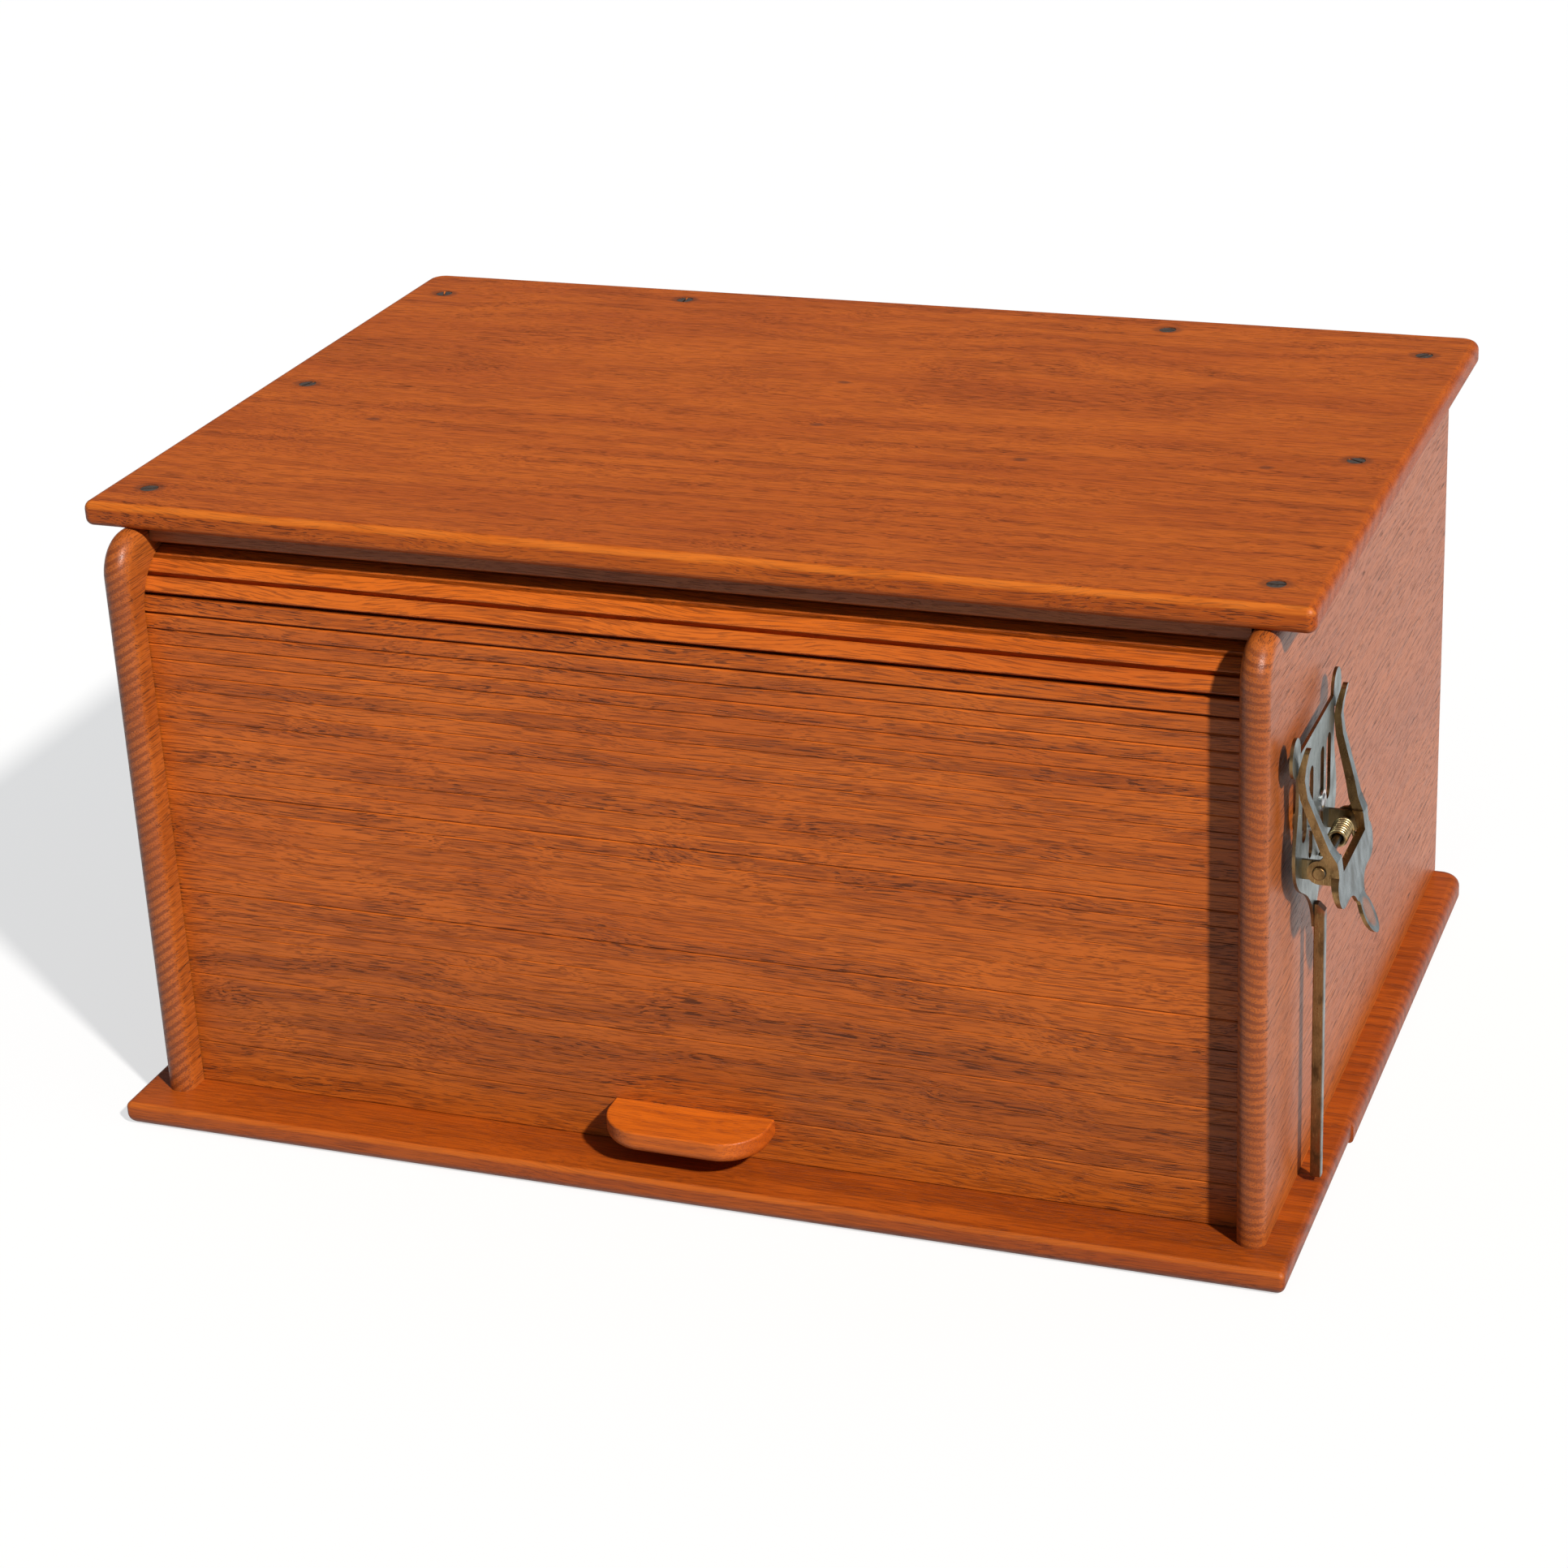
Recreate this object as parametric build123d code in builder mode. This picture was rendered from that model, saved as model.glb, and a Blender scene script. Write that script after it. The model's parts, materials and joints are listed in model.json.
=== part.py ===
"""Oak roll-top box: a tambour shutter in grooved side panels, with a brass lyre clip on the right.

Millimetres. X is to the right, Y to the back, Z up. The origin is the centre of the base's underside.
"""

import os
from math import cos, pi, sin, sqrt

from build123d import *

os.makedirs("parts", exist_ok=True)

# ---------------------------------------------------------------- driving dimensions
base_width = 478.0
base_depth = 348.0
base_thick = 10.0
base_split_y = -58.0  # joint between the two boards of the base
base_step = 0.8  # the front board is narrower by this at each end

top_width = 480.0
top_depth = 317.0
top_thick = 10.0
top_front_y = -145.5
overall_height = 257.0

side_span = 454.0  # over the outer faces of the two side panels
side_thick = 11.0
side_front_y = -160.0
side_back_y = 172.0
side_corner = 16.0  # rounded top corner above the nose

back_thick = 10.0
back_front_y = 150.0

rail_depth = 12.0
rail_height = 7.0
rail_front_y = -138.0

slat_thick = 5.0
slat_pitch = 6.2
slat_gap = 0.1
slat_chamfer = 0.14
open_joints = {0: 0.4, 1: 0.25, 5: 0.35, 8: 0.22, 9: 0.3, 11: 0.5, 17: 0.28, 18: 0.5, 19: 0.25, 20: 0.3,
               22: 0.24, 23: 0.28, 24: 0.26, 25: 0.28, 26: 0.34, 27: 0.4, 28: 0.5, 29: 0.6, 30: 0.45,
               31: 0.35, 32: 0.35, 33: 0.35, 34: 0.35}
slat_count_run = 30  # slats in the upright run
slat_tail = 4  # slats past the bend, under the top
bar_height = 18.0
track_back_y = -142.5  # the cloth side of the slats in the upright run
bend_radius = 17.5  # of the cloth side
groove_depth = 5.0
groove_front_gap = 0.6
groove_back_gap = 0.3
groove_end_y = 100.0
cloth_thick = 0.5
cloth_inset = 11.0  # from each side panel to the cloth's edge

pull_width = 66.0
pull_reach = 24.0
pull_thick = 9.0
pull_corner = 18.0

screw_head_r = 3.6
screw_r = 1.6
screw_len = 18.0
base_screw_len = 25.0

clip_y = -106.5  # middle of the clip
clip_standoff = 4.6  # from the side panel to the back plate
stem_wide = 4.1
stem_deep = 3.6
stem_foot_z = 12.6
stem_top_z = 127.0
collar_r = 4.4  # collars round the clip's screws, behind the plate
plate_thick = 1.2
pin_x = 239.5
pin_z = 151.0
pin_r = 1.5
ear_half = 24.0  # from the middle of the clip to each ear

# ---------------------------------------------------------------- derived
base_top = base_thick
top_under = overall_height - top_thick
side_outer = side_span / 2
side_inner = side_outer - side_thick
side_mid = side_outer - side_thick / 2
bar_top = base_top + bar_height
bend_z = bar_top + slat_count_run * slat_pitch
bend_y = track_back_y + bend_radius
slat_half_len = side_inner + groove_depth - 0.5
slat_w = slat_pitch - slat_gap
cloth_half = side_inner - cloth_inset
cloth_w = slat_pitch - 0.3
plate_x = side_outer + clip_standoff
plate_out = plate_x + plate_thick
bend_len = bend_radius * pi / 2


def on_track(s):
    """Point and lean of the cloth line at path length s, counted as height in the upright run."""
    if s <= bend_z:
        return track_back_y, s, 0.0
    a = (s - bend_z) / bend_radius
    if a <= pi / 2:
        return bend_y - bend_radius * cos(a), bend_z + bend_radius * sin(a), a
    return bend_y + (s - bend_z - bend_len), bend_z + bend_radius, pi / 2


def placed(s, corners):
    """Corners given along and outward from the track, turned and moved to path length s."""
    y, z, a = on_track(s)
    return [(y + u * sin(a) - v * cos(a), z + u * cos(a) + v * sin(a)) for u, v in corners]


def slat_s(k):
    return bar_top + (k - 0.5) * slat_pitch


def strip(s, w, v0, v1, low, high):
    """Outline of a strip of width w lying from v0 to v1 outward of the cloth line.

    low and high are the chamfers of its outer corners.
    """
    h = w / 2
    return placed(s, [(-h, v0), (h, v0), (h, v1 - high), (h - high, v1), (-h + low, v1),
                      (-h, v1 - low)])


def worn(joint):
    """Chamfer of the slats' corners at a joint, counted from the bar; some are rubbed open."""
    return open_joints.get(joint, slat_chamfer)


# ---------------------------------------------------------------- base: two boards joined edge to edge
base_screw_spots = [(sx * side_mid, y) for sx in (-1, 1) for y in (-120.0, 10.0, 140.0)]
back_screw_spots = [(x, back_front_y + back_thick / 2) for x in (-110.0, 110.0)]

with BuildPart() as base_front_board:
    with BuildSketch(Plane.XY):
        with Locations((0, (-base_depth / 2 + base_split_y) / 2)):
            Rectangle(base_width - 2 * base_step, base_depth / 2 + base_split_y)
    extrude(amount=base_thick)
    ups = base_front_board.edges().filter_by(Axis.Z).sort_by(Axis.Y)[:2]
    fillet(ups, 2.0)
    rim = [
        e
        for e in base_front_board.faces().sort_by(Axis.Z)[-1].edges()
        if e.center().Y < base_split_y - 1.0
    ]
    fillet(rim, 2.4)
    rim = [
        e
        for e in base_front_board.faces().sort_by(Axis.Z)[0].edges()
        if e.center().Y < base_split_y - 1.0
    ]
    fillet(rim, 4.5)
    spots = [p for p in base_screw_spots if p[1] < base_split_y]
    with Locations(*[(x, y, 0.2) for x, y in spots]):
        Cylinder(screw_r + 0.05, base_thick + 2, align=(Align.CENTER, Align.CENTER, Align.MIN),
                 mode=Mode.SUBTRACT)
        Cone(screw_head_r + 0.05, screw_r + 0.05, 2.4, align=(Align.CENTER, Align.CENTER, Align.MIN),
             mode=Mode.SUBTRACT)
    with Locations(*[(x, y, 0) for x, y in spots]):
        Cylinder(screw_head_r + 0.05, 0.2, align=(Align.CENTER, Align.CENTER, Align.MIN),
                 mode=Mode.SUBTRACT)
base_front_board.part.label = "base_front_board"
export_step(base_front_board.part, "parts/base_front_board.step")

with BuildPart() as base_rear_board:
    with BuildSketch(Plane.XY):
        with Locations((0, (base_depth / 2 + base_split_y) / 2)):
            Rectangle(base_width, base_depth / 2 - base_split_y)
    extrude(amount=base_thick)
    ups = base_rear_board.edges().filter_by(Axis.Z).sort_by(Axis.Y)[-2:]
    fillet(ups, 9.0)
    rim = [
        e
        for e in base_rear_board.faces().sort_by(Axis.Z)[-1].edges()
        if e.center().Y > base_split_y + 1.0
    ]
    fillet(rim, 4.0)
    rim = [
        e
        for e in base_rear_board.faces().sort_by(Axis.Z)[0].edges()
        if e.center().Y > base_split_y + 1.0
    ]
    fillet(rim, 2.0)
    spots = [p for p in base_screw_spots + back_screw_spots if p[1] > base_split_y]
    with Locations(*[(x, y, 0.2) for x, y in spots]):
        Cylinder(screw_r + 0.05, base_thick + 2, align=(Align.CENTER, Align.CENTER, Align.MIN),
                 mode=Mode.SUBTRACT)
        Cone(screw_head_r + 0.05, screw_r + 0.05, 2.4, align=(Align.CENTER, Align.CENTER, Align.MIN),
             mode=Mode.SUBTRACT)
    with Locations(*[(x, y, 0) for x, y in spots]):
        Cylinder(screw_head_r + 0.05, 0.2, align=(Align.CENTER, Align.CENTER, Align.MIN),
                 mode=Mode.SUBTRACT)
base_rear_board.part.label = "base_rear_board"
export_step(base_rear_board.part, "parts/base_rear_board.step")

# ---------------------------------------------------------------- side panels with the shutter's grooves
top_screw_spots = [(sx * side_mid, y) for sx in (-1, 1) for y in (-125.0, 8.0, 142.0)]
clip_screw_spots = [(clip_y + u, 164.0) for u in (-8.8, 8.8)]

for name, sx in (("left_side_panel", -1), ("right_side_panel", 1)):
    with BuildPart() as side_panel:
        with BuildSketch(Plane.YZ.offset(min(sx * side_inner, sx * side_outer))):
            with BuildLine():
                Line((side_front_y, base_top), (side_front_y, top_under - side_corner))
                RadiusArc((side_front_y, top_under - side_corner),
                          (side_front_y + side_corner, top_under), side_corner)
                Line((side_front_y + side_corner, top_under), (side_back_y, top_under))
                Line((side_back_y, top_under), (side_back_y, base_top))
                Line((side_back_y, base_top), (side_front_y, base_top))
            make_face()
        extrude(amount=side_thick)
        nose = [
            e
            for e in side_panel.edges()
            if abs(e.center().X - sx * side_mid) > side_thick / 2 - 0.1
            and e.center().Y < side_front_y + side_corner / 2 + 1.0
        ]
        fillet(nose, side_thick / 2 - 0.15)
        with BuildSketch(Plane.YZ.offset(min(sx * side_inner, sx * (side_inner + groove_depth)))):
            r0 = bend_radius - groove_back_gap
            r1 = bend_radius + slat_thick + groove_front_gap
            q = sqrt(0.5)
            with BuildLine():
                Line((bend_y - r1, base_top), (bend_y - r1, bend_z))
                ThreePointArc((bend_y - r1, bend_z), (bend_y - r1 * q, bend_z + r1 * q),
                              (bend_y, bend_z + r1))
                Line((bend_y, bend_z + r1), (groove_end_y, bend_z + r1))
                Line((groove_end_y, bend_z + r1), (groove_end_y, bend_z + r0))
                Line((groove_end_y, bend_z + r0), (bend_y, bend_z + r0))
                ThreePointArc((bend_y, bend_z + r0), (bend_y - r0 * q, bend_z + r0 * q),
                              (bend_y - r0, bend_z))
                Line((bend_y - r0, bend_z), (bend_y - r0, base_top))
                Line((bend_y - r0, base_top), (bend_y - r1, base_top))
            make_face()
        extrude(amount=groove_depth, mode=Mode.SUBTRACT)
        with Locations(*[(x, y, top_under) for x, y in top_screw_spots if x * sx > 0]):
            Cylinder(screw_r + 0.05, screw_len - top_thick + 0.2,
                     align=(Align.CENTER, Align.CENTER, Align.MAX), mode=Mode.SUBTRACT)
        with Locations(*[(x, y, base_top) for x, y in base_screw_spots if x * sx > 0]):
            Cylinder(screw_r + 0.05, base_screw_len - base_thick + 0.6,
                     align=(Align.CENTER, Align.CENTER, Align.MIN), mode=Mode.SUBTRACT)
        if sx > 0:
            with Locations(*[Location((side_outer, y, z), (0, -90, 0)) for y, z in clip_screw_spots]):
                Cylinder(1.3, 7.0, align=(Align.CENTER, Align.CENTER, Align.MIN), mode=Mode.SUBTRACT)
    side_panel.part.label = name
    export_step(side_panel.part, f"parts/{name}.step")

# ---------------------------------------------------------------- top board
top_back_spots = [(x, back_front_y + back_thick / 2) for x in (-110.0, 110.0)]
all_top_spots = top_screw_spots + top_back_spots

with BuildPart() as top_board:
    with BuildSketch(Plane.XY.offset(top_under)):
        with Locations((0, top_front_y + top_depth / 2)):
            Rectangle(top_width, top_depth)
    extrude(amount=top_thick)
    ups = top_board.edges().filter_by(Axis.Z).sort_by(Axis.Y)
    fillet(ups[:2], 3.5)
    fillet(ups[-2:], 8.0)
    fillet(top_board.faces().sort_by(Axis.Z)[-1].edges(), 3.4)
    fillet(top_board.faces().sort_by(Axis.Z)[0].edges(), 3.0)
    with Locations(*[(x, y, overall_height - 0.2) for x, y in all_top_spots]):
        Cylinder(screw_r + 0.05, top_thick + 2, align=(Align.CENTER, Align.CENTER, Align.MAX),
                 mode=Mode.SUBTRACT)
        Cone(screw_r + 0.05, screw_head_r + 0.05, 2.4, align=(Align.CENTER, Align.CENTER, Align.MAX),
             mode=Mode.SUBTRACT)
    with Locations(*[(x, y, overall_height) for x, y in all_top_spots]):
        Cylinder(screw_head_r + 0.05, 0.2, align=(Align.CENTER, Align.CENTER, Align.MAX),
                 mode=Mode.SUBTRACT)
top_board.part.label = "top_board"
export_step(top_board.part, "parts/top_board.step")

# ---------------------------------------------------------------- rail under the top's front edge
with BuildPart() as top_front_rail:
    with BuildSketch(Plane.XY.offset(top_under - rail_height)):
        with Locations((0, rail_front_y + rail_depth / 2)):
            Rectangle(side_inner * 2, rail_depth)
    extrude(amount=rail_height)
    edge = top_front_rail.edges().filter_by(Axis.X).group_by(Axis.Z)[0].sort_by(Axis.Y)[0]
    fillet(edge, 1.2)
top_front_rail.part.label = "top_front_rail"
export_step(top_front_rail.part, "parts/top_front_rail.step")

# ---------------------------------------------------------------- back panel, set in between the sides
with BuildPart() as back_panel:
    with BuildSketch(Plane.XY.offset(base_top)):
        with Locations((0, back_front_y + back_thick / 2)):
            Rectangle(side_inner * 2, back_thick)
    extrude(amount=top_under - base_top)
    with Locations(*[(x, y, top_under) for x, y in top_back_spots]):
        Cylinder(screw_r + 0.05, screw_len - top_thick + 0.2,
                 align=(Align.CENTER, Align.CENTER, Align.MAX), mode=Mode.SUBTRACT)
    with Locations(*[(x, y, base_top) for x, y in back_screw_spots]):
        Cylinder(screw_r + 0.05, base_screw_len - base_thick + 0.6,
                 align=(Align.CENTER, Align.CENTER, Align.MIN), mode=Mode.SUBTRACT)
back_panel.part.label = "back_panel"
export_step(back_panel.part, "parts/back_panel.step")

# ---------------------------------------------------------------- wood screws, slotted and countersunk
with BuildPart() as top_screws:
    with Locations(*[(x, y, overall_height - 0.2) for x, y in all_top_spots]):
        Cone(screw_r, screw_head_r, 2.4, align=(Align.CENTER, Align.CENTER, Align.MAX))
        Cylinder(screw_r, screw_len - 3.0, align=(Align.CENTER, Align.CENTER, Align.MAX))
    with Locations(*[(x, y, overall_height - 0.2 - (screw_len - 3.0)) for x, y in all_top_spots]):
        Cone(0.3, screw_r, 2.6, align=(Align.CENTER, Align.CENTER, Align.MAX))
    for n, (x, y) in enumerate(all_top_spots):
        turn = (25, 70, 110, 10, 150, 55, 95, 35)[n % 8]
        with Locations(Location((x, y, overall_height - 0.2), (0, 0, turn))):
            Box(screw_head_r * 2 + 1, 0.9, 1.8, mode=Mode.SUBTRACT)
top_screws.part.label = "top_screws"
export_step(top_screws.part, "parts/top_screws.step")

all_base_spots = base_screw_spots + back_screw_spots
with BuildPart() as base_screws:
    with Locations(*[(x, y, 0.2) for x, y in all_base_spots]):
        Cone(screw_head_r, screw_r, 2.4, align=(Align.CENTER, Align.CENTER, Align.MIN))
        Cylinder(screw_r, base_screw_len - 3.0, align=(Align.CENTER, Align.CENTER, Align.MIN))
    with Locations(*[(x, y, 0.2 + base_screw_len - 3.0) for x, y in all_base_spots]):
        Cone(screw_r, 0.3, 2.6, align=(Align.CENTER, Align.CENTER, Align.MIN))
    for n, (x, y) in enumerate(all_base_spots):
        turn = (40, 85, 120, 15, 65, 140, 30, 100)[n % 8]
        with Locations(Location((x, y, 0.2), (0, 0, turn))):
            Box(screw_head_r * 2 + 1, 0.9, 1.8, mode=Mode.SUBTRACT)
base_screws.part.label = "base_screws"
export_step(base_screws.part, "parts/base_screws.step")

# ---------------------------------------------------------------- shutter: bottom bar and its pull
pull_screw_spots = [(x, base_top + 10.0) for x in (-18.0, 18.0)]

with BuildPart() as shutter_bar:
    with BuildSketch(Plane.YZ.offset(-slat_half_len)):
        h = (bar_height - slat_gap) / 2
        c = 0.5
        mid = base_top + h
        t = slat_thick
        Polygon(*placed(mid, [(-h, 0), (h, 0), (h, t - c), (h - c, t), (-h + c, t), (-h, t - c)]),
                align=None)
    extrude(amount=2 * slat_half_len)
    with Locations(*[Location((x, track_back_y, z), (90, 0, 0)) for x, z in pull_screw_spots]):
        Cylinder(1.25, slat_thick + 0.2, align=(Align.CENTER, Align.CENTER, Align.MIN),
                 mode=Mode.SUBTRACT)
        Cone(2.75, 1.25, 1.6, align=(Align.CENTER, Align.CENTER, Align.MIN), mode=Mode.SUBTRACT)
shutter_bar.part.label = "shutter_bar"
export_step(shutter_bar.part, "parts/shutter_bar.step")

pull_back_y = track_back_y - slat_thick
with BuildPart() as shutter_pull:
    with BuildSketch(Plane.XY.offset(bar_top + 0.5 - pull_thick)):
        w, r = pull_width / 2, pull_corner
        y0, y1 = pull_back_y, pull_back_y - pull_reach
        q = r * (1 - sqrt(0.5))
        with BuildLine():
            Line((-w, y0), (-w, y1 + r))
            ThreePointArc((-w, y1 + r), (-w + q, y1 + q), (-w + r, y1))
            Line((-w + r, y1), (w - r, y1))
            ThreePointArc((w - r, y1), (w - q, y1 + q), (w, y1 + r))
            Line((w, y1 + r), (w, y0))
            Line((w, y0), (-w, y0))
        make_face()
    extrude(amount=pull_thick)
    low = [e for e in shutter_pull.faces().sort_by(Axis.Z)[0].edges() if e.center().Y < y0 - 0.1]
    fillet(low, 4.0)
    high = [e for e in shutter_pull.faces().sort_by(Axis.Z)[-1].edges() if e.center().Y < y0 - 0.1]
    fillet(high, 0.8)
    with Locations(*[Location((x, pull_back_y, z), (90, 0, 0)) for x, z in pull_screw_spots]):
        Cylinder(1.25, 9.2, align=(Align.CENTER, Align.CENTER, Align.MIN), mode=Mode.SUBTRACT)
shutter_pull.part.label = "shutter_pull"
export_step(shutter_pull.part, "parts/shutter_pull.step")

with BuildPart() as pull_screws:
    with Locations(*[Location((x, track_back_y - 0.1, z), (90, 0, 0)) for x, z in pull_screw_spots]):
        Cone(2.65, 1.2, 1.55, align=(Align.CENTER, Align.CENTER, Align.MIN))
        Cylinder(1.2, 13.5, align=(Align.CENTER, Align.CENTER, Align.MIN))
    with Locations(*[Location((x, track_back_y, z), (90, 0, 30)) for x, z in pull_screw_spots]):
        Box(7.0, 0.7, 1.4, mode=Mode.SUBTRACT)
pull_screws.part.label = "pull_screws"
export_step(pull_screws.part, "parts/pull_screws.step")

# ---------------------------------------------------------------- shutter: slats and their cloth backing
# the slats are numbered from the bar upward, and those that move alike share a name
in_bend = int(bend_len / slat_pitch)  # slats that fit in the bend
groups = [(f"lower_slat_{k}", f"lower_cloth_{k}", [k]) for k in range(1, in_bend + 1)]
groups.append(("run_slats", "run_cloth", list(range(in_bend + 1, slat_count_run + 1))))
groups += [
    (f"bend_slat_{k - slat_count_run}", f"bend_cloth_{k - slat_count_run}", [k])
    for k in range(slat_count_run + 1, slat_count_run + in_bend + 1)
]
first_tail = slat_count_run + in_bend + 1
groups.append(("tail_slats", "tail_cloth", list(range(first_tail, first_tail + slat_tail))))

for slat_name, cloth_name, numbers in groups:
    with BuildPart() as slats:
        with BuildSketch(Plane.YZ.offset(-slat_half_len)):
            for k in numbers:
                Polygon(*strip(slat_s(k), slat_w, 0.0, slat_thick, worn(k - 1), worn(k)), align=None)
        extrude(amount=2 * slat_half_len)
    slats.part.label = slat_name
    export_step(slats.part, f"parts/{slat_name}.step")

    with BuildPart() as cloth:
        with BuildSketch(Plane.YZ.offset(-cloth_half)):
            if len(numbers) == 1:
                Polygon(*strip(slat_s(numbers[0]), cloth_w, -cloth_thick, 0.0, 0.05, 0.05), align=None)
            else:
                s0, s1 = slat_s(numbers[0]), slat_s(numbers[-1])
                w = s1 - s0 + cloth_w
                Polygon(*strip((s0 + s1) / 2, w, -cloth_thick, 0.0, 0.05, 0.05), align=None)
        extrude(amount=2 * cloth_half)
    cloth.part.label = cloth_name
    export_step(cloth.part, f"parts/{cloth_name}.step")

# ---------------------------------------------------------------- lyre clip: stem, on the plate's tail
with BuildPart() as clip_stem:
    with BuildSketch(Plane.XY.offset(stem_foot_z)):
        with Locations((plate_out + stem_wide / 2, clip_y)):
            Rectangle(stem_wide, stem_deep)
    extrude(amount=stem_top_z - stem_foot_z)
    chamfer(clip_stem.edges().group_by(Axis.Z)[0], 0.6)
    top_edge = clip_stem.edges().group_by(Axis.Z)[-1].sort_by(Axis.X)[-1]
    chamfer(top_edge, 2.6)
    chamfer(clip_stem.edges().filter_by(Axis.Z), 0.3)
clip_stem.part.label = "clip_stem"
export_step(clip_stem.part, "parts/clip_stem.step")

# ---------------------------------------------------------------- lyre clip: back plate with two ears
ear_r = 4.6
plate_ear = ear_half - 1.6  # the plate's ears stand inside the lever's
with BuildPart() as clip_plate:
    with BuildSketch(Plane.YZ.offset(plate_x)):
        flank = [(2.4, 124.0), (7.6, 131.0), (15.0, 137.0), (25.0, 143.0), (32.0, 150.5), (34.0, 159.5),
                 (31.5, 170.0), (29.0, 183.0)]
        with BuildLine():
            Spline((clip_y, 117.0), *[(clip_y + u, z) for u, z in flank])
            Spline((clip_y, 117.0), *[(clip_y - u, z) for u, z in flank])
            Line((clip_y + 29.0, 183.0), (clip_y + 28.5, 197.5))
            Line((clip_y - 29.0, 183.0), (clip_y - 28.5, 197.5))
            Line((clip_y - 28.5, 197.5), (clip_y + 28.5, 197.5))
        make_face()
        with Locations((clip_y - 33.5, 198.5), (clip_y + 33.5, 198.5)):
            Ellipse(6.4, 7.4)
        with Locations((clip_y - 8.8, 167.0), (clip_y + 8.8, 167.0)):
            SlotOverall(36.0, 6.4, rotation=90, mode=Mode.SUBTRACT)
        with Locations((clip_y - 19.6, 173.0), (clip_y + 19.6, 173.0)):
            SlotOverall(26.0, 7.6, rotation=90, mode=Mode.SUBTRACT)
    extrude(amount=plate_thick)
    # ears stand out from the plate and carry the pin
    for side in (-1, 1):
        with BuildSketch(Plane.XZ.offset(-(clip_y + side * plate_ear + plate_thick / 2))):
            with Locations(((plate_x + pin_x) / 2, pin_z)):
                Rectangle(pin_x - plate_x, 2 * ear_r - 1.6)
            with Locations((pin_x, pin_z)):
                Circle(ear_r - 0.6)
        extrude(amount=plate_thick)
    with Locations(Location((pin_x, clip_y, pin_z), (90, 0, 0))):
        Cylinder(pin_r + 0.02, 80.0, mode=Mode.SUBTRACT)
    # collars hold the plate off the wood where the screws go through
    with Locations(*[Location((side_outer, y, z), (0, 90, 0)) for y, z in clip_screw_spots]):
        Cylinder(collar_r, clip_standoff, align=(Align.CENTER, Align.CENTER, Align.MIN))
        Cylinder(1.3, clip_standoff, align=(Align.CENTER, Align.CENTER, Align.MIN), mode=Mode.SUBTRACT)
clip_plate.part.label = "clip_plate"
export_step(clip_plate.part, "parts/clip_plate.step")

# ---------------------------------------------------------------- lyre clip: lever with arms and thumb tab
arm_in = plate_out + 0.05
side_line = [
    (arm_in + 2.6, 201.6), (arm_in + 0.6, 194.0), (arm_in, 189.0), (arm_in + 0.9, 182.0),
    (240.2, 160.0), (242.8, 155.0), (246.8, 138.0), (248.2, 132.5), (252.2, 123.5), (255.4, 117.5),
]
with BuildPart() as clip_lever:
    # the bent sheet, seen from the front
    with BuildSketch(Plane.XZ.offset(-(clip_y + 45.0))):
        thick = [1.9, 2.5, 2.6, 2.7, 3.4, 3.4, 1.6, 1.4, 1.4, 1.3]
        outer_line = [(x + t, z + 0.25 * t) for (x, z), t in zip(side_line, thick)]
        Polygon(*side_line, *outer_line[::-1], align=None)
    extrude(amount=90.0)
    # cut to its outline, seen from the side
    with BuildSketch(Plane.YZ.offset(side_outer)):
        lobes = [(25.6, 150.0), (28.8, 144.0), (26.2, 138.8), (18.0, 137.4), (10.5, 136.6), (5.6, 132.0)]
        with BuildLine():
            Spline(*[(clip_y + u, z) for u, z in lobes])
            Line((clip_y + 5.6, 132.0), (clip_y - 5.6, 132.0))
            Spline(*[(clip_y - u, z) for u, z in lobes])
            Line((clip_y - 25.6, 150.0), (clip_y - 24.7, 156.5))
            Line((clip_y + 25.6, 150.0), (clip_y + 24.7, 156.5))
            Line((clip_y - 24.7, 156.5), (clip_y + 24.7, 156.5))
        make_face()
        with Locations((clip_y, 125.4)):
            Ellipse(6.2, 7.0)
        with Locations((clip_y, 131.0)):
            Rectangle(9.0, 6.0)
        with Locations((clip_y, 153.5)):
            Rectangle(37.0, 8.0, mode=Mode.SUBTRACT)
        for side in (-1, 1):
            arm = [(19.0, 150.5), (24.7, 150.5), (28.0, 165.0), (31.6, 182.0), (32.6, 199.8),
                   (28.6, 199.8), (27.4, 183.0), (23.6, 166.0), (19.6, 157.0)]
            Polygon(*[(clip_y + side * u, z) for u, z in arm], align=None)
            with Locations((clip_y + side * 30.6, 199.6)):
                Circle(2.0)
    extrude(amount=60.0, mode=Mode.INTERSECT)
    # ears that turn on the pin
    for side in (-1, 1):
        with BuildSketch(Plane.XZ.offset(-(clip_y + side * ear_half + 0.7))):
            Polygon((pin_x, pin_z - ear_r), (246.0, pin_z - ear_r), (245.4, 155.0), (242.4, 159.0),
                    (pin_x, pin_z + ear_r), align=None)
            with Locations((pin_x, pin_z)):
                Circle(ear_r)
        extrude(amount=1.4)
    with Locations(Location((pin_x, clip_y, pin_z), (90, 0, 0))):
        Cylinder(pin_r + 0.06, 80.0, mode=Mode.SUBTRACT)
clip_lever.part.label = "clip_lever"
export_step(clip_lever.part, "parts/clip_lever.step")

# ---------------------------------------------------------------- lyre clip: hinge pin with two domed heads
with BuildPart() as clip_pin:
    with Locations(Location((pin_x, clip_y, pin_z), (90, 0, 0))):
        Cylinder(pin_r, 2 * (ear_half + 1.2))
        for side in (-1, 1):
            with Locations((0, 0, side * (ear_half + 1.5))):
                Cylinder(2.5, 1.0)
    fillet(clip_pin.edges().group_by(Axis.Y)[0] + clip_pin.edges().group_by(Axis.Y)[-1], 0.6)
clip_pin.part.label = "clip_pin"
export_step(clip_pin.part, "parts/clip_pin.step")

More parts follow.
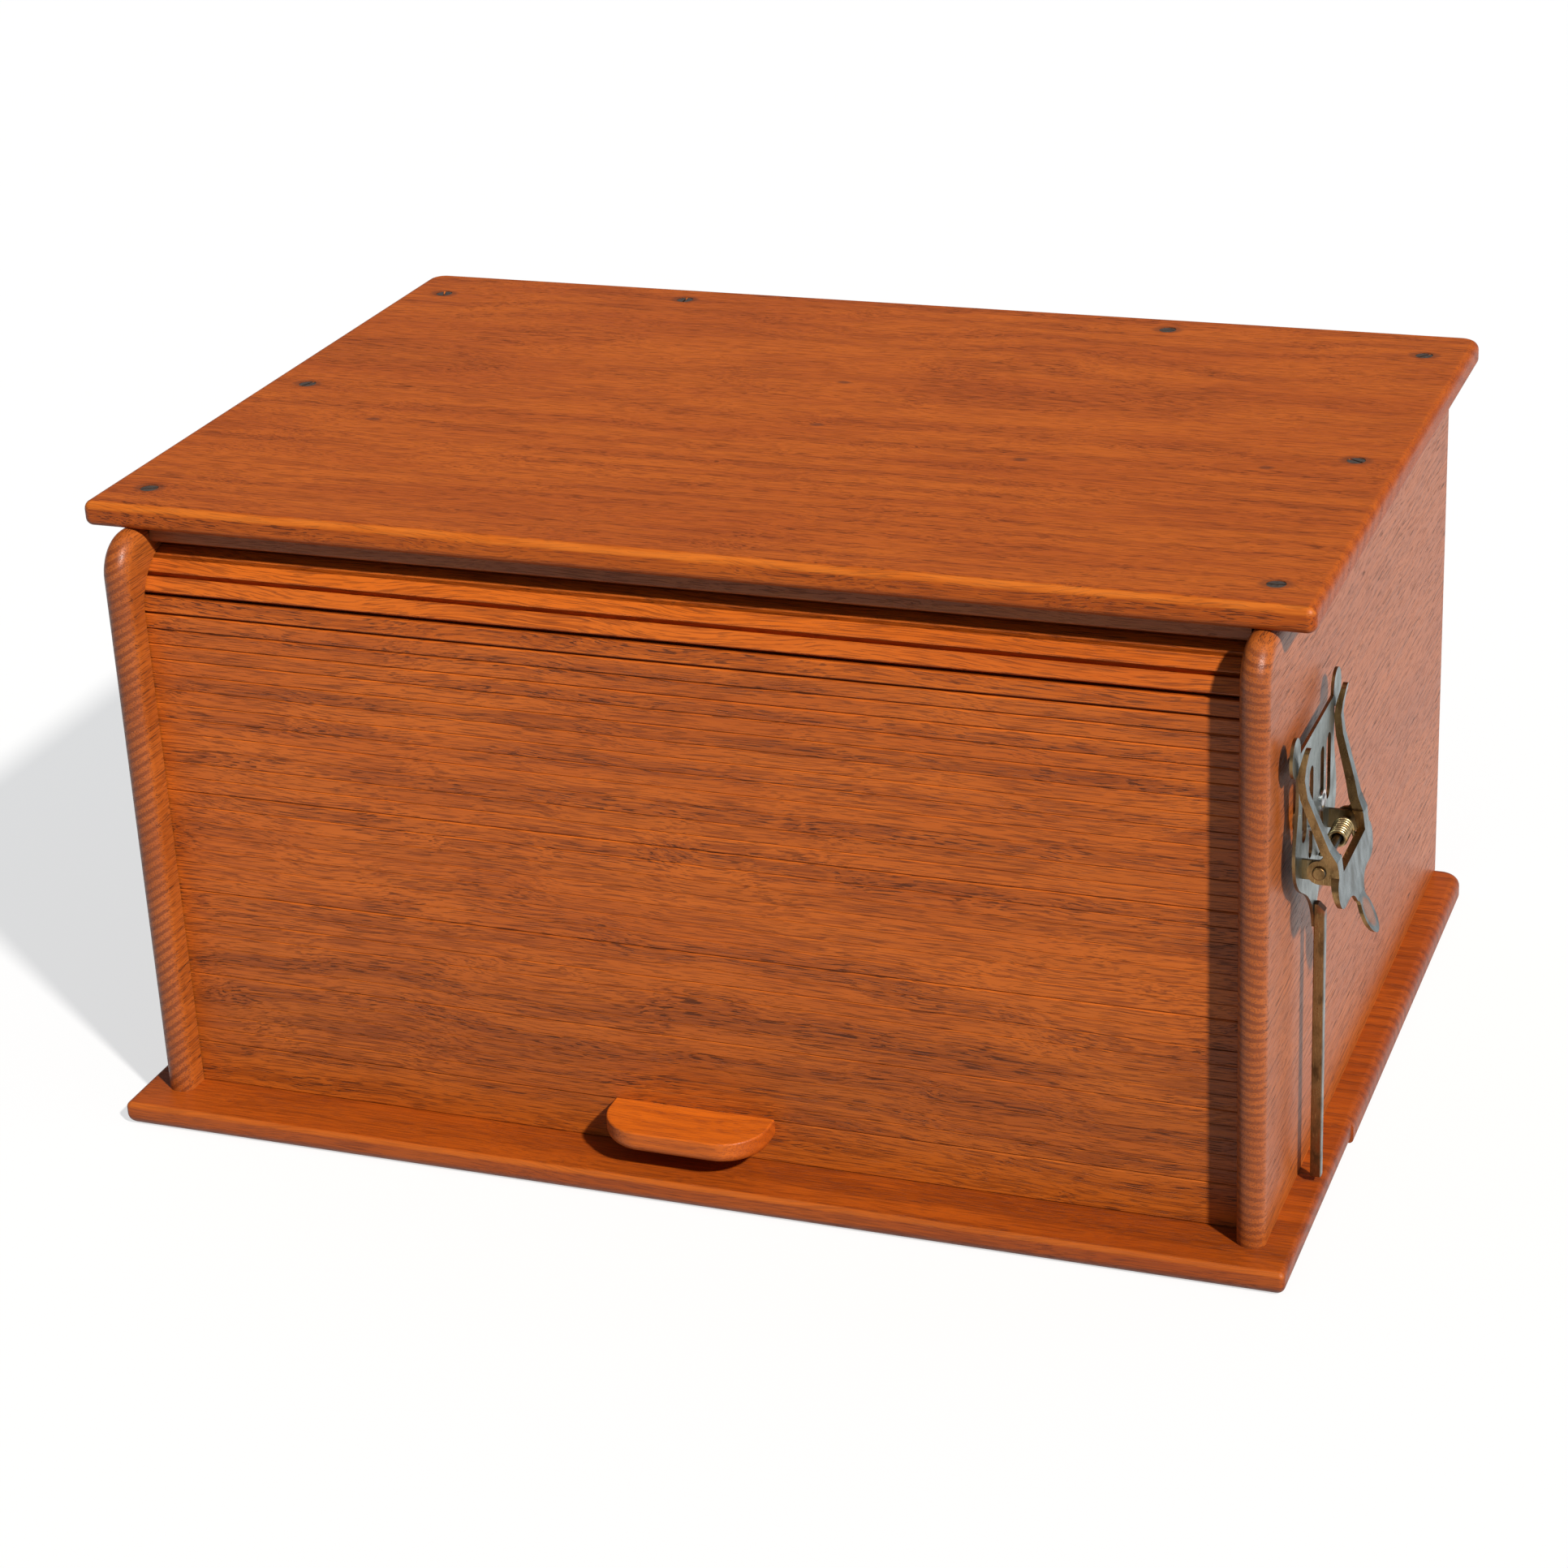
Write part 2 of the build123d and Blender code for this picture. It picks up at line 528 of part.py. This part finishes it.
# ---------------------------------------------------------------- lyre clip: coil spring round the pin
wire_r = 0.8
coil_r = 3.0
coil_turns = 6.4
coil_pitch = 1.75
coil_y = clip_y + 5.0
coil_start = 291.0  # degrees round the pin from straight up, where the leg on the plate leaves
with BuildPart() as clip_spring:
    with BuildLine() as spring_wire:
        coil = Helix(coil_pitch, coil_pitch * coil_turns, coil_r, center=(pin_x, coil_y, pin_z),
                     direction=(0, 1, 0), mode=Mode.PRIVATE)
        coil = coil.rotate(Axis((pin_x, 0, pin_z), (0, 1, 0)), coil_start)
        add(coil)
        plate_leg = ((coil @ 0).X - plate_out - wire_r) / (coil % 0).X
        Line((coil @ 0) - (coil % 0) * plate_leg, coil @ 0)
        Line(coil @ 1, (coil @ 1) + (coil % 1) * 8.0)
        route = spring_wire.wires()[0]
    with BuildSketch(Plane(origin=route @ 0, z_dir=route % 0)):
        Circle(wire_r)
    sweep(path=route)
clip_spring.part.label = "clip_spring"
export_step(clip_spring.part, "parts/clip_spring.step")

# ---------------------------------------------------------------- lyre clip: dome-head screws
with BuildPart() as clip_screws:
    for y, z in clip_screw_spots:
        with Locations(Location((plate_out, y, z), (0, 90, 0))):
            Cylinder(4.0, 0.8, align=(Align.CENTER, Align.CENTER, Align.MIN))
            Cone(4.0, 2.2, 1.3, align=(Align.CENTER, Align.CENTER, Align.MIN))
            Cylinder(1.25, 11.5, align=(Align.CENTER, Align.CENTER, Align.MAX))
        with Locations((plate_out + 2.0, y, z)):
            Box(1.6, 0.9, 9.0, mode=Mode.SUBTRACT)
clip_screws.part.label = "clip_screws"
export_step(clip_screws.part, "parts/clip_screws.step")
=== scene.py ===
"""Oak roll-top bread box with a brass lyre clip: the looks, the light and the camera."""

import json
from math import radians

import bpy
from mathutils import Matrix, Vector


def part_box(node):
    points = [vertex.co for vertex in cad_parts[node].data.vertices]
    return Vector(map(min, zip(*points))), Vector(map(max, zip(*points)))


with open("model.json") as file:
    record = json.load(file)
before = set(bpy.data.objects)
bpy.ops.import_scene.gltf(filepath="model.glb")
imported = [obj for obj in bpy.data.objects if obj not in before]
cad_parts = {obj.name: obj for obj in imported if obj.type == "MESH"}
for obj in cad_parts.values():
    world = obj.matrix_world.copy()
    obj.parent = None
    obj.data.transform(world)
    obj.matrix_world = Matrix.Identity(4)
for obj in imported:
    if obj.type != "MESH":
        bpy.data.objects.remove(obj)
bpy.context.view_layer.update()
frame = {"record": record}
bpy.ops.object.select_all(action="DESELECT")


# ---- top board ----------------------------------------------------------------------------
# One flat-sawn oak board with its grain from side to side and its edges rounded over, oiled
# and rubbed to a satin shine. Eight screws hold it down on the side panels and the back.
def put(tree, kind, links=None, values=None, **settings):
    """Add a node with its settings, its input values and the links to its inputs."""
    node = tree.nodes.new(kind)
    for key, value in settings.items():
        setattr(node, key, value)
    for key, value in (values or {}).items():
        node.inputs[key].default_value = value
    for key, source in (links or {}).items():
        tree.links.new(source, node.inputs[key])
    return node


def calc(tree, operation, *items, clamp=False):
    """The result of a math node on numbers or sockets."""
    node = tree.nodes.new("ShaderNodeMath")
    node.operation, node.use_clamp = operation, clamp
    for slot, item in enumerate(items):
        if isinstance(item, (int, float)):
            node.inputs[slot].default_value = item
        else:
            tree.links.new(item, node.inputs[slot])
    return node.outputs[0]


def fade(tree, source, low, high, first=0.0, last=1.0):
    """A number that runs smoothly from first to last as the source goes from low to high."""
    node = put(tree, "ShaderNodeMapRange", {"Value": source}, interpolation_type="SMOOTHSTEP")
    for slot, value in enumerate((low, high, first, last), start=1):
        node.inputs[slot].default_value = value
    return node.outputs[0]


def mix(tree, amount, first, second, mode="MIX"):
    """Two colours mixed; each is a socket or a colour."""
    node = tree.nodes.new("ShaderNodeMix")
    node.data_type, node.blend_type = "RGBA", mode
    for slot, item in ((0, amount), (6, first), (7, second)):
        if isinstance(item, (int, float)):
            node.inputs[slot].default_value = item
        elif isinstance(item, tuple):
            node.inputs[slot].default_value = (*item, 1)
        else:
            tree.links.new(item, node.inputs[slot])
    return node.outputs[2]


def millimetres(tree):
    """The place on the piece as three numbers in millimetres."""
    place = put(tree, "ShaderNodeTexCoord").outputs["Object"]
    parts = put(tree, "ShaderNodeSeparateXYZ", {"Vector": place}).outputs
    return [calc(tree, "MULTIPLY", parts[axis], 1000.0) for axis in range(3)]


def cloud(tree, numbers, sizes, seed=0.0, detail=2.0, rough=0.5):
    """Noise whose lumps are about as large as the sizes, in millimetres."""
    shifts = (seed * 7.3, seed * 3.1, seed * 5.7)
    scaled = [calc(tree, "MULTIPLY_ADD", n, 1 / s, shift)
              for n, s, shift in zip(numbers, sizes, shifts)]
    spot = put(tree, "ShaderNodeCombineXYZ", dict(zip("XYZ", scaled))).outputs[0]
    return put(tree, "ShaderNodeTexNoise", {"Vector": spot},
               {"Scale": 1.0, "Detail": detail, "Roughness": rough}).outputs["Fac"]


full_turn = 6.2832


def oak(name, grain, tones, pith, ring, seed, sway=14.0, figure=0.55, pores=0.75, streaks=0.6,
        rough=0.42, ends=0.5, gloss=0.3, hatch=0.25):
    """Oiled oak: its year rings, its open pores in rows along them, its streaks and its clouds.

    grain is the axis of the fibres, and pith the log's centre across them, in millimetres.
    tones are the bright, the brown, the dark and the pore colour, and ring a year's width.
    figure, pores, streaks, ends and hatch say how strongly each of them shows. rough is how
    dull the oil has dried, and gloss how strongly it reflects.
    """
    wood = bpy.data.materials.new(name)
    wood.use_nodes = True
    tree = wood.node_tree
    shader = tree.nodes["Principled BSDF"]
    place = millimetres(tree)
    order = {"X": (0, 1, 2), "Y": (1, 0, 2), "Z": (2, 0, 1)}[grain]
    a, b, c = (place[axis] for axis in order)
    # the log is a little crooked, so the rings sway along the board
    slow = cloud(tree, (a, b, c), (150.0, 60.0, 60.0), seed, 2.0)
    quick = cloud(tree, (a, b, c), (45.0, 12.0, 12.0), seed + 1.0, 2.0)
    shift = calc(tree, "MULTIPLY_ADD", calc(tree, "SUBTRACT", slow, 0.5), sway,
                 calc(tree, "MULTIPLY", calc(tree, "SUBTRACT", quick, 0.5), sway * 0.16))
    b = calc(tree, "ADD", b, shift)
    c = calc(tree, "ADD", c, shift)
    wide = calc(tree, "SUBTRACT", b, pith[0])
    high = calc(tree, "SUBTRACT", c, pith[1])
    far = calc(tree, "SQRT", calc(tree, "ADD", calc(tree, "MULTIPLY", wide, wide),
                                  calc(tree, "MULTIPLY", high, high)))
    year = calc(tree, "DIVIDE", far, ring)
    wave = calc(tree, "SINE", calc(tree, "MULTIPLY", year, full_turn))
    spring = fade(tree, wave, -0.45, 0.95)
    # the years differ in how open their spring wood is
    lush = cloud(tree, (a, far, c), (90.0, ring * 1.7, 400.0), seed + 2.0, 1.0)
    spring = calc(tree, "MULTIPLY", spring, fade(tree, lush, 0.36, 0.62, 0.25, 1.0))
    # long streaks that crowd in drifts, open pores that crowd in the spring wood, and fibres
    streak = cloud(tree, (a, b, c), (30.0, 0.80, 0.80), seed + 3.0, 2.0, 0.55)
    drift = cloud(tree, (a, b, c), (60.0, 9.0, 9.0), seed + 7.0, 2.0)
    drift = calc(tree, "ADD", drift, calc(tree, "MULTIPLY", spring, 0.35))
    level = calc(tree, "MULTIPLY_ADD", drift, 0.34, calc(tree, "SUBTRACT", streak, 0.21))
    streak = fade(tree, level, 0.45, 0.57)
    crowd = calc(tree, "MULTIPLY_ADD", spring, 0.5, 0.5)
    pore = fade(tree, cloud(tree, (a, b, c), (11.0, 0.40, 0.40), seed + 4.0, 1.0), 0.56, 0.63)
    pore = calc(tree, "MULTIPLY", pore, crowd)
    fibre = cloud(tree, (a, b, c), (30.0, 0.45, 0.45), seed + 5.0, 3.0, 0.65)
    patch = fade(tree, cloud(tree, (a, b, c), (110.0, 26.0, 26.0), seed + 6.0, 3.0), 0.35, 0.68)

    bright, brown, dark, deep = tones
    tone = mix(tree, patch, bright, brown)
    tone = mix(tree, calc(tree, "MULTIPLY", spring, figure), tone, dark)
    tone = mix(tree, calc(tree, "MULTIPLY", streak, streaks), tone, dark)
    tone = mix(tree, fade(tree, fibre, 0.36, 0.66, 0.0, 0.55), tone, bright)
    tone = mix(tree, calc(tree, "MULTIPLY", pore, pores), tone, deep)
    # end grain takes up more oil, so it is darker, and its years show as a hatch
    if ends:
        turned = put(tree, "ShaderNodeNewGeometry").outputs["Normal"]
        facing = put(tree, "ShaderNodeSeparateXYZ", {"Vector": turned}).outputs[order[0]]
        facing = fade(tree, calc(tree, "ABSOLUTE", facing), 0.25, 0.85)
        oiled = mix(tree, 0.5, tone, dark, "MULTIPLY")
        tone = mix(tree, calc(tree, "MULTIPLY", facing, ends), tone, oiled)
        band = calc(tree, "MULTIPLY", fade(tree, wave, 0.0, 0.6), hatch)
        tone = mix(tree, calc(tree, "MULTIPLY", facing, band), tone, dark)
    tree.links.new(tone, shader.inputs["Base Color"])
    dull = calc(tree, "MULTIPLY_ADD", calc(tree, "ADD", pore, fibre), 0.18, rough - 0.08)
    tree.links.new(dull, shader.inputs["Roughness"])
    shader.inputs["Specular IOR Level"].default_value = gloss
    height = calc(tree, "MULTIPLY_ADD", fibre, 0.4, calc(tree, "MULTIPLY", pore, -1.0))
    bump = put(tree, "ShaderNodeBump", {"Height": height}, {"Strength": 0.6, "Distance": 0.0002})
    tree.links.new(bump.outputs[0], shader.inputs["Normal"])
    return wood


def tint(material, mask, colour, mode="MIX"):
    """Lay a colour over the material's own where the mask says."""
    tree = material.node_tree
    own = tree.nodes["Principled BSDF"].inputs["Base Color"]
    under = own.links[0].from_socket
    tree.links.new(mix(tree, mask, under, colour, mode), own)


def near(tree, numbers, spots, inner, outer, most, stretch=(1.0, 1.0, 1.0)):
    """A mask round each of the spots, with an uneven edge.

    It is most up to the inner radius and nothing from the outer one, in millimetres, and
    stretch makes it longer along an axis.
    """
    x, y, z = numbers
    mask = None
    for spot in spots:
        away = [calc(tree, "MULTIPLY", calc(tree, "SUBTRACT", n, at), 1 / s)
                for n, at, s in zip((x, y, z), spot, stretch)]
        arrow = put(tree, "ShaderNodeCombineXYZ", dict(zip("XYZ", away))).outputs[0]
        gap = put(tree, "ShaderNodeVectorMath", {0: arrow}, operation="LENGTH").outputs["Value"]
        mask = gap if mask is None else calc(tree, "MINIMUM", mask, gap)
    wobble = cloud(tree, numbers, (2.5, 1.5, 1.5), 41.0, 2.0)
    edge = outer - inner
    mask = calc(tree, "MULTIPLY_ADD", wobble, edge, calc(tree, "SUBTRACT", mask, 0.5 * edge))
    return fade(tree, mask, inner, outer, most, 0.0)


def wear_and_highlight(material, colour, most):
    """Make the front arrises paler, at most this much: partly worn wood, partly a painted highlight
    where they face forward and up.
    """
    tree = material.node_tree
    turned = put(tree, "ShaderNodeNewGeometry").outputs["Normal"]
    parts = put(tree, "ShaderNodeSeparateXYZ", {"Vector": turned}).outputs
    forward = fade(tree, calc(tree, "MULTIPLY", parts["Y"], -1.0), 0.15, 0.5)
    upward = fade(tree, parts["Z"], 0.1, 0.4)
    wobble = cloud(tree, millimetres(tree), (40.0, 3.0, 3.0), 51.0, 3.0)
    wobble = fade(tree, wobble, 0.35, 0.6, 0.3, most)
    arris = calc(tree, "MULTIPLY", forward, upward)
    tint(material, calc(tree, "MULTIPLY", arris, wobble), colour)


def dress(material, *node_names):
    """Give CAD nodes their material."""
    for node_name in node_names:
        for slot in bpy.data.objects[node_name].material_slots:
            slot.material = material


top_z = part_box("top_board")[1][2] * 1000
top_tones = ((0.53, 0.110, 0.006), (0.43, 0.078, 0.004), (0.27, 0.042, 0.002), (0.10, 0.018, 0.002))
top_oak = oak("top_oak", "X", top_tones, pith=(60.0, 120.0), ring=9.0, seed=1.0, sway=22.0,
              figure=0.22, pores=0.85, streaks=0.62, gloss=0.22)
tree = top_oak.node_tree
x, y, z = millimetres(tree)
# the steel has stained the oak round each screw
side_screws_x, side_screws_y = 221.5, (-125.0, 8.0, 142.0)
back_screws_x, back_screws_y = 110.0, 155.0
screw_spots = [(side * side_screws_x, at, top_z) for side in (-1, 1) for at in side_screws_y]
screw_spots += [(side * back_screws_x, back_screws_y, top_z) for side in (-1, 1)]
stain = near(tree, (x, y, z), screw_spots, inner=3.4, outer=5.6, most=0.55, stretch=(1.4, 1.0, 1.0))
tint(top_oak, stain, (0.10, 0.026, 0.008))
# brads were sunk and filled here and there
brads = [(-172.5, -28.6, top_z), (6.6, 3.7, top_z), (-1.0, 57.4, top_z), (97.5, -18.9, top_z),
         (190.4, -7.5, top_z)]
filled = near(tree, (x, y, z), brads, inner=0.9, outer=2.6, most=0.7, stretch=(1.6, 1.0, 1.0))
tint(top_oak, filled, (0.12, 0.030, 0.010))
# the front arris is paler: partly wear, partly a painted highlight
wear_and_highlight(top_oak, (0.66, 0.17, 0.018), most=0.7)
dress(top_oak, "top_board")

# ---- side panels --------------------------------------------------------------------------
# Two oak panels with their grain from front to back, so that their rounded noses show end
# grain. A groove down the nose and back under the top guides the shutter. Each is screwed
# to the base from below.
side_tones = ((0.45, 0.108, 0.014), (0.37, 0.080, 0.009), (0.20, 0.040, 0.005), (0.08, 0.018, 0.003))
side_oak = oak("side_oak", "Y", side_tones, pith=(120.0, -420.0), ring=3.4, seed=2.0, sway=10.0,
               figure=0.35, pores=0.9, streaks=0.40, rough=0.40, ends=0.35, gloss=0.40, hatch=0.85)
dress(side_oak, "left_side_panel", "right_side_panel")

# ---- base ---------------------------------------------------------------------------------
# Two oak boards joined edge to edge under the front third of the box, with their rims
# rounded over. The sides and the back stand on them.
base_tones = ((0.41, 0.078, 0.005), (0.31, 0.050, 0.003), (0.16, 0.025, 0.002), (0.08, 0.015, 0.002))
base_oak = oak("base_oak", "X", base_tones, pith=(-150.0, -26.0), ring=7.0, seed=3.0, sway=16.0,
               figure=0.6, pores=0.5, streaks=0.6)
# the front arris is paler: partly wear, partly a painted highlight
wear_and_highlight(base_oak, (0.58, 0.14, 0.015), most=0.45)
dress(base_oak, "base_front_board", "base_rear_board")

# ---- shutter ------------------------------------------------------------------------------
# Narrow oak slats cut side by side from one board, so that its figure runs on from slat to
# slat, glued on a strip of linen. The bottom bar carries a small pull.
shutter_tones = ((0.60, 0.128, 0.010), (0.49, 0.094, 0.007), (0.25, 0.044, 0.004),
                 (0.07, 0.014, 0.002))
shutter_oak = oak("shutter_oak", "X", shutter_tones, pith=(-60.0, 112.0), ring=8.0, seed=4.0,
                  sway=18.0, figure=0.25, pores=0.85, streaks=0.75)
bodies = frame["record"]["behaviour"]["bodies"]
node_names = [name for names in bodies.values() for name in names]
shutter_nodes = [name for name in node_names if "slat" in name or name == "shutter_bar"]
tree = shutter_oak.node_tree
x, y, z = millimetres(tree)
slat_low, slat_pitch = 28.0, 6.2
above = calc(tree, "SUBTRACT", z, slat_low)
number = calc(tree, "FLOOR", calc(tree, "DIVIDE", above, slat_pitch))
lot = put(tree, "ShaderNodeTexWhiteNoise", {"W": number}, noise_dimensions="1D").outputs["Value"]
# each slat has a tone of its own
tint(shutter_oak, fade(tree, lot, 0.45, 1.0, 0.0, 0.30), (0.62, 0.60, 0.58), "MULTIPLY")
# the slats get darker towards the bottom
tint(shutter_oak, fade(tree, z, 30.0, 125.0, 0.7, 0.0), (0.72, 0.78, 0.85), "MULTIPLY")
dress(shutter_oak, *shutter_nodes)

pull_tones = ((0.64, 0.135, 0.008), (0.52, 0.100, 0.006), (0.32, 0.055, 0.004), (0.12, 0.02, 0.005))
pull_oak = oak("pull_oak", "X", pull_tones, pith=(-190.0, -20.0), ring=3.5, seed=5.0, figure=0.35,
               pores=0.4, streaks=0.4)
dress(pull_oak, "shutter_pull")

# ---- rail and back ------------------------------------------------------------------------
# A thin oak rail closes the gap under the top's front edge. The back is one oak panel set
# in between the sides.
inner_tones = ((0.42, 0.115, 0.022), (0.34, 0.085, 0.016), (0.22, 0.048, 0.010), (0.08, 0.02, 0.005))
inner_oak = oak("inner_oak", "X", inner_tones, pith=(300.0, 60.0), ring=5.0, seed=6.0, sway=24.0,
                figure=0.45, pores=0.5, streaks=0.5)
dress(inner_oak, "top_front_rail", "back_panel")


# ---- cloth backing ------------------------------------------------------------------------
# Unbleached linen glued to the back of the slats, which lets them turn against each other
# as they run round the bend.
def linen(name):
    """Plain-woven linen that has yellowed with age and glue."""
    cloth = bpy.data.materials.new(name)
    cloth.use_nodes = True
    tree = cloth.node_tree
    shader = tree.nodes["Principled BSDF"]
    x, y, z = millimetres(tree)
    up = calc(tree, "ADD", y, z)
    thread_pitch = 0.7
    warp = calc(tree, "SINE", calc(tree, "MULTIPLY", x, full_turn / thread_pitch))
    weft = calc(tree, "SINE", calc(tree, "MULTIPLY", up, full_turn / thread_pitch))
    weave = calc(tree, "MULTIPLY", warp, weft)
    slub = cloud(tree, (x, y, z), (14.0, 0.8, 0.8), 31.0)
    stain = cloud(tree, (x, y, z), (40.0, 20.0, 20.0), 32.0)
    tone = mix(tree, fade(tree, weave, -0.6, 0.8), (0.30, 0.22, 0.13), (0.48, 0.38, 0.25))
    tone = mix(tree, fade(tree, slub, 0.45, 0.7, 0.0, 0.4), tone, (0.55, 0.45, 0.31))
    tone = mix(tree, fade(tree, stain, 0.4, 0.75, 0.0, 0.5), tone, (0.28, 0.17, 0.08))
    tree.links.new(tone, shader.inputs["Base Color"])
    shader.inputs["Roughness"].default_value = 0.9
    bump = put(tree, "ShaderNodeBump", {"Height": weave}, {"Strength": 0.5, "Distance": 0.0002})
    tree.links.new(bump.outputs[0], shader.inputs["Normal"])
    return cloth


dress(linen("yellowed_linen"), *[name for name in node_names if "cloth" in name])


# ---- screws -------------------------------------------------------------------------------
# Slotted wood screws, countersunk, their steel browned and rubbed bright along the slots.
def metal(name, main, worn, dark, rough, seed, lump=(3.0, 3.0, 3.0), flat=None):
    """Old metal: its main colour, its worn and its dark, tarnished places, and fine scratches.

    lump is the size of the tarnished places, in millimetres. flat is the colour of a painted
    reflection on the faces that look left and right, where the edges keep the main colour.
    """
    steel = bpy.data.materials.new(name)
    steel.use_nodes = True
    tree = steel.node_tree
    shader = tree.nodes["Principled BSDF"]
    numbers = millimetres(tree)
    patch = cloud(tree, numbers, lump, seed, 4.0, 0.6)
    speck = cloud(tree, numbers, (0.6, 0.6, 0.6), seed + 1.0, 3.0)
    scratch = cloud(tree, numbers, (0.25, 0.25, 4.0), seed + 2.0, 2.0)
    tone = mix(tree, fade(tree, patch, 0.42, 0.72), main, dark)
    tone = mix(tree, fade(tree, scratch, 0.60, 0.72, 0.0, 0.4), tone, worn)
    # the faces that look left and right get a painted reflection of the pale surroundings
    if flat:
        turned = put(tree, "ShaderNodeNewGeometry").outputs["Normal"]
        facing = put(tree, "ShaderNodeSeparateXYZ", {"Vector": turned}).outputs["X"]
        facing = fade(tree, calc(tree, "ABSOLUTE", facing), 0.55, 0.85)
        painted_reflection = mix(tree, fade(tree, patch, 0.35, 0.7, 0.0, 0.35), flat, dark)
        tone = mix(tree, facing, tone, painted_reflection)
    tone = mix(tree, fade(tree, speck, 0.60, 0.74, 0.0, 0.5), tone, dark)
    tree.links.new(tone, shader.inputs["Base Color"])
    shader.inputs["Metallic"].default_value = 1.0
    dull = fade(tree, patch, 0.3, 0.75, rough - 0.08, rough + 0.14)
    tree.links.new(dull, shader.inputs["Roughness"])
    bump = put(tree, "ShaderNodeBump", {"Height": calc(tree, "ADD", speck, scratch)},
               {"Strength": 0.3, "Distance": 0.0001})
    tree.links.new(bump.outputs[0], shader.inputs["Normal"])
    return steel


browned = metal("browned_steel", (0.36, 0.26, 0.20), (0.75, 0.66, 0.60), (0.12, 0.08, 0.06),
                rough=0.42, seed=11.0, lump=(1.6, 1.6, 1.6))
dress(browned, "top_screws", "base_screws", "pull_screws")

# ---- lyre clip ----------------------------------------------------------------------------
# A paper clip of stamped brass sheet on the right side: a lyre-shaped back plate on a square
# stem, and a lever with two arms that a coil spring round the hinge pin holds shut.
# the clip's faces that look left and right get a dull greenish painted reflection (flat)
brass_dark = metal("brass_dark", (0.26, 0.150, 0.060), (0.62, 0.42, 0.17), (0.09, 0.050, 0.020),
                   rough=0.34, seed=12.0, lump=(6.0, 6.0, 10.0), flat=(0.16, 0.20, 0.21))
plate_brass = metal("plate_brass", (0.24, 0.155, 0.070), (0.40, 0.34, 0.22), (0.10, 0.080, 0.050),
                   rough=0.34, seed=13.0, lump=(8.0, 8.0, 12.0), flat=(0.20, 0.25, 0.25))
brass_bright = metal("brass_bright", (0.46, 0.34, 0.17), (0.75, 0.62, 0.38), (0.16, 0.10, 0.045),
                     rough=0.36, seed=15.0)
white_metal = metal("white_metal", (0.62, 0.62, 0.63), (0.85, 0.85, 0.85), (0.35, 0.33, 0.32),
                    rough=0.25, seed=14.0)
# the thumb tab gets a coppery-red painted highlight inside its rim
tree = brass_dark.node_tree
x, y, z = millimetres(tree)
clip_middle_y, tab_outward, tab_up = -106.5, 6.0, 7.4
lever_low, lever_high = (Vector(corner) * 1000 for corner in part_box("clip_lever"))
tab_middle = ((lever_low.x + lever_high.x) / 2 + tab_outward, clip_middle_y, lever_low.z + tab_up)
painted_tab_highlight = near(tree, (x, y, z), [tab_middle], inner=3.6, outer=5.2, most=0.85,
              stretch=(4.0, 1.0, 1.15))
tint(brass_dark, painted_tab_highlight, (0.36, 0.13, 0.060))
dress(brass_dark, "clip_lever", "clip_pin", "clip_stem")
dress(brass_bright, "clip_spring")
dress(plate_brass, "clip_plate")
dress(white_metal, "clip_screws")

# ---- floor, light and camera --------------------------------------------------------------
# A pale floor that glows a little, so that shadows on it stay faint, a dim blue room, and one
# strong lamp from the right, the front and above.
bpy.ops.mesh.primitive_plane_add(size=60, location=(0, 0, 0))
floor = bpy.context.object
floor.name = "floor"
pale = bpy.data.materials.new("pale_floor")
pale.use_nodes = True
paint = pale.node_tree.nodes["Principled BSDF"]
paint.inputs["Base Color"].default_value = (0.30, 0.30, 0.30, 1)
paint.inputs["Roughness"].default_value = 0.9
paint.inputs["Emission Color"].default_value = (1, 1, 1, 1)
paint.inputs["Emission Strength"].default_value = 0.66
floor.data.materials.append(pale)
floor.visible_diffuse = False

room = bpy.data.worlds.new("studio")
bpy.context.scene.world = room
room.use_nodes = True
tree = room.node_tree
tree.nodes["Background"].inputs["Color"].default_value = (0.80, 0.90, 1.0, 1)
tree.nodes["Background"].inputs["Strength"].default_value = 0.22
# the camera sees a white room
seen = put(tree, "ShaderNodeBackground", None, {"Color": (1, 1, 1, 1), "Strength": 1.0})
path = put(tree, "ShaderNodeLightPath")
lit = tree.nodes["Background"].outputs[0]
both = put(tree, "ShaderNodeMixShader", {0: path.outputs["Is Camera Ray"], 1: lit, 2: seen.outputs[0]})
tree.links.new(both.outputs[0], tree.nodes["World Output"].inputs["Surface"])

lamp = bpy.data.lights.new("key", "SUN")
lamp.energy = 4.6
lamp.angle = radians(3)
lamp.color = (1.0, 0.97, 0.93)
key = bpy.data.objects.new("key", lamp)
bpy.context.collection.objects.link(key)
sunbeam = Vector((-1, 0.76, -1.05))
key.matrix_world = sunbeam.to_track_quat("-Z", "Y").to_matrix().to_4x4()

eye = bpy.data.cameras.new("eye")
eye.sensor_width = 36
eye.lens = 82.10
eye.shift_x = -0.02376
eye.shift_y = -0.01624
camera = bpy.data.objects.new("eye", eye)
bpy.context.collection.objects.link(camera)
# the camera's own directions and its place, in metres
right = Vector((0.94089, 0.33610, -0.04195))
upward = Vector((-0.09948, 0.39259, 0.91432))
back = Vector((0.32377, -0.85610, 0.40282))
turn = Matrix((right, upward, back)).transposed()
stand = Matrix.Translation((0.47998, -1.26076, 0.70668))
camera.matrix_world = stand @ turn.to_4x4()
bpy.context.scene.camera = camera
bpy.context.scene.view_settings.view_transform = "Standard"
